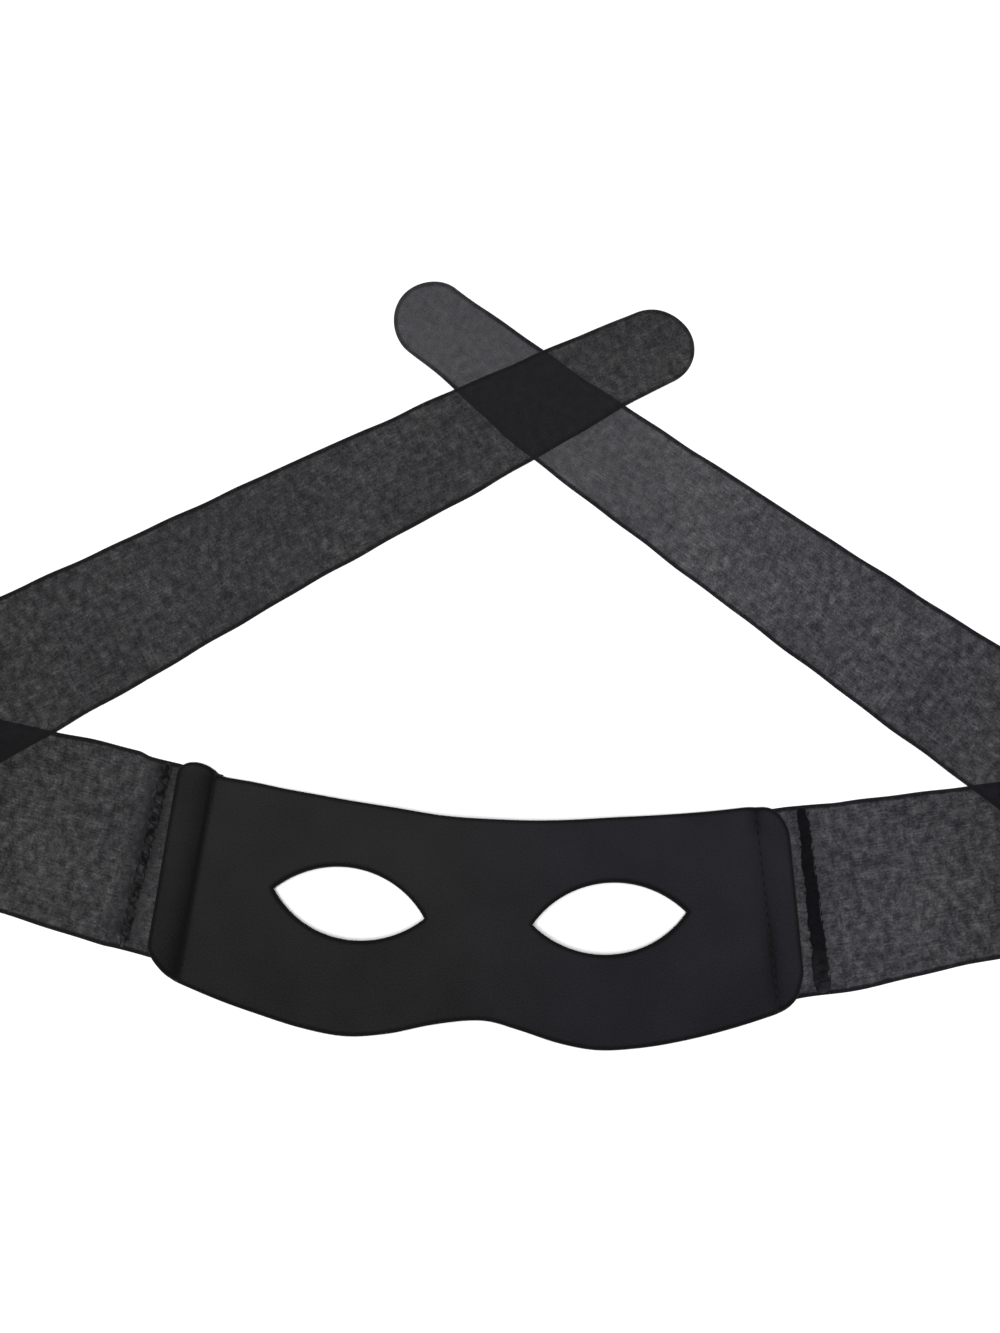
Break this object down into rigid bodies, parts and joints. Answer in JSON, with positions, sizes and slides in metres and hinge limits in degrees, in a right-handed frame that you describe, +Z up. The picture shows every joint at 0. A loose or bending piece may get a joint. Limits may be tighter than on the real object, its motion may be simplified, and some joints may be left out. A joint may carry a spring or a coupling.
{
  "type": "domino mask",
  "caption": "Black foam-cloth eye mask with two almond eye holes, a nose notch, and two long sheer knit ties folded back and crossed above the brow.",
  "frame": {"origin": "on the surface that the mask lies on, under the middle of its bounding box", "axes": "+X to the right of the face seen from above, +Y from the cheeks past the brow toward the crossing of the ties, +Z up, out of the front of the face"},
  "size_m": [0.4056, 0.2316, 0.0172],
  "materials": {
    "face_foam_cloth": "matte black cloth on thin foam, moulded",
    "sheer_knit": "sheer black stretch knit, the surface under it shows through",
    "seam_thread": "matte black overlocked seam"
  },
  "bodies": {
    "root": {"face": "face_foam_cloth", "strap_left": "sheer_knit", "strap_right": "sheer_knit", "seam_left": "seam_thread", "seam_right": "seam_thread"}
  },
  "joints": []
}
